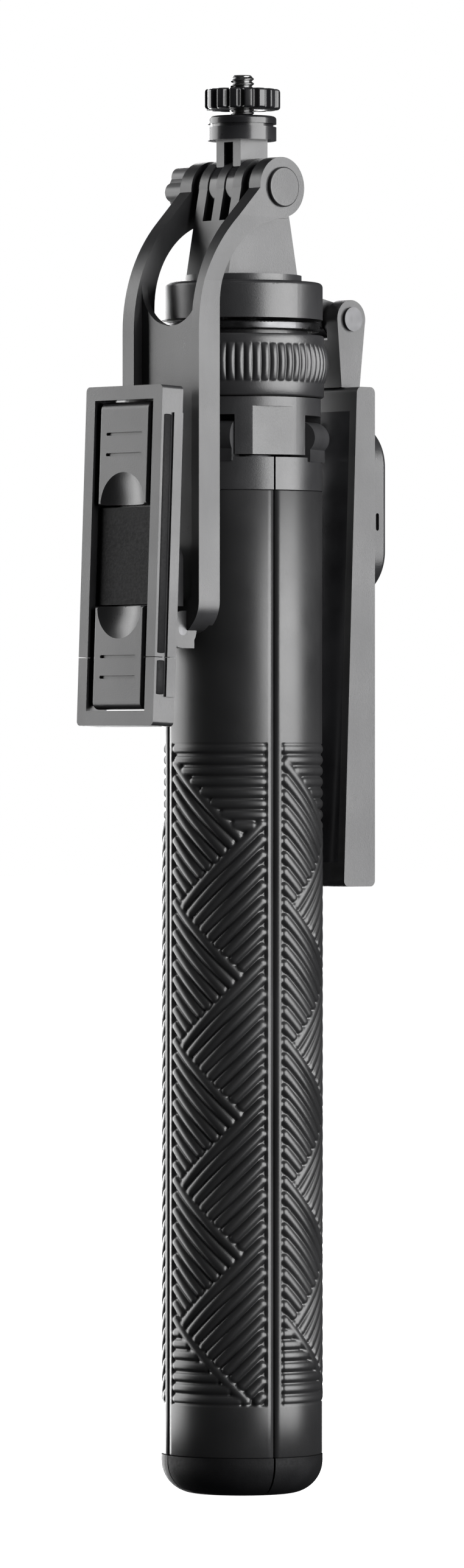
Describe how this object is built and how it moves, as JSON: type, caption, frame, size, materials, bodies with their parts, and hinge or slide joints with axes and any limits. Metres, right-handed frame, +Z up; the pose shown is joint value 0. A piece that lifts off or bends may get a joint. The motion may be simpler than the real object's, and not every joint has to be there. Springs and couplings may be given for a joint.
{
  "type": "selfie stick",
  "caption": "Folded tripod selfie stick: ribbed handle that splits into legs, telescopic pole, folding yoke with phone clamp, camera screw, fold-out light and remote.",
  "frame": {"origin": "on the floor, on the axis of the handle and pole, where the folded stick stands on its feet", "axes": "+Z up along the pole; X along the head's hinge bolt, with the knob on -X; the phone clamp folds down on -Y and the light panel on +Y"},
  "size_m": [0.0452, 0.0863, 0.3687],
  "materials": {
    "charcoal_plastic": "fine satin texture",
    "grey_plastic": "satin",
    "grip_plastic": "satin, moulded ribs",
    "foot_rubber": "matt",
    "pole_aluminium": "dark anodised",
    "pin_steel": "blackened",
    "screw_steel": "plated",
    "black_metal": "glossy black",
    "trim_metal": "dark anodised, polished",
    "diffuser_plastic": "smoked, gloss",
    "board_green": "solder mask",
    "cell_metal": "plain"
  },
  "bodies": {
    "handle": {"leg_hub": "charcoal_plastic", "leg_hinge_pins": "pin_steel", "pole_tube_1": "pole_aluminium", "trim_ring": "trim_metal"},
    "leg_1": {"leg_shell_1": "grip_plastic", "leg_cap_1": "charcoal_plastic", "foot_pad_1": "foot_rubber"},
    "leg_2": {"leg_shell_2": "grip_plastic", "leg_cap_2": "charcoal_plastic", "foot_pad_2": "foot_rubber"},
    "leg_3": {"leg_shell_3": "grip_plastic", "leg_cap_3": "charcoal_plastic", "foot_pad_3": "foot_rubber"},
    "leg_4": {"leg_shell_4": "grip_plastic", "leg_cap_4": "charcoal_plastic", "foot_pad_4": "foot_rubber"},
    "spreader": {"spreader_ring": "charcoal_plastic", "strut_pins": "pin_steel"},
    "strut_1": {"strut_1": "pole_aluminium"},
    "strut_2": {"strut_2": "pole_aluminium"},
    "strut_3": {"strut_3": "pole_aluminium"},
    "strut_4": {"strut_4": "pole_aluminium"},
    "twist_collar": {"twist_collar": "charcoal_plastic"},
    "pole_2": {"pole_section_2": "pole_aluminium"},
    "pole_3": {"pole_section_3": "pole_aluminium"},
    "pole_4": {"pole_section_4": "pole_aluminium"},
    "pole_5": {"pole_section_5": "pole_aluminium"},
    "head": {"pole_section_6": "pole_aluminium", "head_collar": "charcoal_plastic"},
    "neck": {"neck": "charcoal_plastic", "hinge_bolt": "charcoal_plastic"},
    "washers": {"hinge_washers": "pin_steel"},
    "yoke": {"yoke": "charcoal_plastic", "tilt_pin": "pin_steel"},
    "hinge_knob": {"hinge_knob": "grey_plastic"},
    "tilt_mount": {"tilt_plate": "charcoal_plastic", "swivel_stud": "charcoal_plastic"},
    "clamp": {"clamp_frame": "charcoal_plastic", "clamp_pad": "foot_rubber", "upper_jaw_pin": "pin_steel"},
    "upper_jaw": {"upper_jaw": "charcoal_plastic"},
    "carriage": {"clamp_carriage": "charcoal_plastic", "guide_rods": "pin_steel", "lower_jaw_pin": "pin_steel"},
    "lower_jaw": {"lower_jaw": "charcoal_plastic"},
    "adapter": {"adapter": "black_metal", "camera_screw": "screw_steel"},
    "lock_disc": {"lock_disc": "black_metal"},
    "arm_pin": {"arm_pin": "pin_steel", "arm_spacers": "pin_steel"},
    "panel": {"panel_arm": "charcoal_plastic", "panel_shell": "charcoal_plastic", "light_diffuser": "diffuser_plastic", "light_board": "board_green", "light_battery": "cell_metal"},
    "remote": {"remote_body": "charcoal_plastic", "remote_cell": "cell_metal"},
    "remote_button": {"remote_button": "grey_plastic"}
  },
  "joints": [
    {"name": "leg_1_spread", "type": "hinge", "parent": "handle", "child": "leg_1", "pos_m": [0.00756, -0.01578, 0.2742], "axis": [-0.9018, -0.4321, 0], "range_deg": [0, 30]},
    {"name": "leg_2_spread", "type": "hinge", "parent": "handle", "child": "leg_2", "pos_m": [0.01578, 0.00756, 0.2742], "axis": [0.4321, -0.9018, 0], "range_deg": [0, 30]},
    {"name": "leg_3_spread", "type": "hinge", "parent": "handle", "child": "leg_3", "pos_m": [-0.00756, 0.01578, 0.2742], "axis": [0.9018, 0.4321, 0], "range_deg": [0, 30]},
    {"name": "leg_4_spread", "type": "hinge", "parent": "handle", "child": "leg_4", "pos_m": [-0.01578, -0.00756, 0.2742], "axis": [-0.4321, 0.9018, 0], "range_deg": [0, 30]},
    {"name": "spreader_slide", "type": "slide", "parent": "handle", "child": "spreader", "axis": [0, 0, 1], "range_m": [0, 0.03216]},
    {"name": "strut_1_swing", "type": "hinge", "parent": "spreader", "child": "strut_1", "pos_m": [0.00588, -0.01226, 0.0742], "axis": [0.9018, 0.4321, 0], "range_deg": [0, 38.19]},
    {"name": "strut_2_swing", "type": "hinge", "parent": "spreader", "child": "strut_2", "pos_m": [0.01226, 0.00588, 0.0742], "axis": [-0.4321, 0.9018, 0], "range_deg": [0, 38.19]},
    {"name": "strut_3_swing", "type": "hinge", "parent": "spreader", "child": "strut_3", "pos_m": [-0.00588, 0.01226, 0.0742], "axis": [-0.9018, -0.4321, 0], "range_deg": [0, 38.19]},
    {"name": "strut_4_swing", "type": "hinge", "parent": "spreader", "child": "strut_4", "pos_m": [-0.01226, -0.00588, 0.0742], "axis": [0.4321, -0.9018, 0], "range_deg": [0, 38.19]},
    {"name": "collar_twist", "type": "hinge", "parent": "handle", "child": "twist_collar", "pos_m": [0, 0, 0.2927], "axis": [0, 0, 1], "range_deg": [0, 60]},
    {"name": "pole_2_slide", "type": "slide", "parent": "handle", "child": "pole_2", "axis": [0, 0, 1], "range_m": [0, 0.225]},
    {"name": "pole_3_slide", "type": "slide", "parent": "pole_2", "child": "pole_3", "axis": [0, 0, 1], "range_m": [0, 0.225]},
    {"name": "pole_4_slide", "type": "slide", "parent": "pole_3", "child": "pole_4", "axis": [0, 0, 1], "range_m": [0, 0.225]},
    {"name": "pole_5_slide", "type": "slide", "parent": "pole_4", "child": "pole_5", "axis": [0, 0, 1], "range_m": [0, 0.225]},
    {"name": "head_slide", "type": "slide", "parent": "pole_5", "child": "head", "axis": [0, 0, 1], "range_m": [0, 0.225]},
    {"name": "neck_swivel", "type": "hinge", "parent": "head", "child": "neck", "pos_m": [0, 0, 0.3148], "axis": [0, 0, 1], "range_deg": [-90, 90]},
    {"name": "washers_turn", "type": "hinge", "parent": "neck", "child": "washers", "pos_m": [0, 0, 0.339], "axis": [-1, 0, 0], "range_deg": [0, 30]},
    {"name": "yoke_fold", "type": "hinge", "parent": "washers", "child": "yoke", "pos_m": [0, 0, 0.339], "axis": [-1, 0, 0], "range_deg": [0, 150]},
    {"name": "hinge_knob_turn", "type": "hinge", "parent": "neck", "child": "hinge_knob", "pos_m": [-0.019, 0, 0.339], "axis": [-1, 0, 0], "continuous": true},
    {"name": "clamp_tilt", "type": "hinge", "parent": "yoke", "child": "tilt_mount", "pos_m": [0, -0.0293, 0.2241], "axis": [1, 0, 0], "range_deg": [0, 30]},
    {"name": "clamp_swivel", "type": "hinge", "parent": "tilt_mount", "child": "clamp", "pos_m": [0, -0.0362, 0.2365], "axis": [0, -0.9992, 0.04], "continuous": true},
    {"name": "upper_jaw_flip", "type": "hinge", "parent": "clamp", "child": "upper_jaw", "pos_m": [0, -0.03924, 0.28066], "axis": [-1, 0, 0], "range_deg": [0, 90]},
    {"name": "clamp_open", "type": "slide", "parent": "clamp", "child": "carriage", "axis": [0, -0.04, -0.9992], "range_m": [0, 0.03], "stiffness_N_per_m": 100, "springref_m": -0.03},
    {"name": "lower_jaw_flip", "type": "hinge", "parent": "carriage", "child": "lower_jaw", "pos_m": [0, -0.04225, 0.20542], "axis": [1, 0, 0], "range_deg": [0, 90]},
    {"name": "adapter_tilt", "type": "hinge", "parent": "neck", "child": "adapter", "pos_m": [0, 0, 0.339], "axis": [1, 0, 0], "range_deg": [-80, 80]},
    {"name": "lock_disc_turn", "type": "hinge", "parent": "adapter", "child": "lock_disc", "pos_m": [0, 0, 0.3624], "axis": [0, 0, 1], "continuous": true},
    {"name": "arm_pin_turn", "type": "hinge", "parent": "head", "child": "arm_pin", "pos_m": [0, 0.0308, 0.306], "axis": [1, 0, 0], "range_deg": [0, 30]},
    {"name": "panel_fold", "type": "hinge", "parent": "arm_pin", "child": "panel", "pos_m": [0, 0.0308, 0.306], "axis": [1, 0, 0], "range_deg": [0, 90]},
    {"name": "remote_lift_off", "type": "slide", "parent": "panel", "child": "remote", "axis": [0, 1, 0], "range_m": [0, 0.025]},
    {"name": "button_press", "type": "slide", "parent": "remote", "child": "remote_button", "axis": [0, -1, 0], "range_m": [0, 0.0006], "stiffness_N_per_m": 500, "springref_m": -0.0004}
  ],
  "couplings": [
    {"joint": "leg_2_spread", "follows": "leg_1_spread", "ratio": 1},
    {"joint": "leg_3_spread", "follows": "leg_1_spread", "ratio": 1},
    {"joint": "leg_4_spread", "follows": "leg_1_spread", "ratio": 1},
    {"joint": "spreader_slide", "follows": "leg_1_spread", "m_per_rad": 0.061029},
    {"joint": "strut_1_swing", "follows": "leg_1_spread", "ratio": 1.2697},
    {"joint": "strut_2_swing", "follows": "leg_1_spread", "ratio": 1.2697},
    {"joint": "strut_3_swing", "follows": "leg_1_spread", "ratio": 1.2697},
    {"joint": "strut_4_swing", "follows": "leg_1_spread", "ratio": 1.2697},
    {"joint": "washers_turn", "follows": "leg_1_spread", "ratio": 1},
    {"joint": "arm_pin_turn", "follows": "leg_1_spread", "ratio": 1}
  ]
}
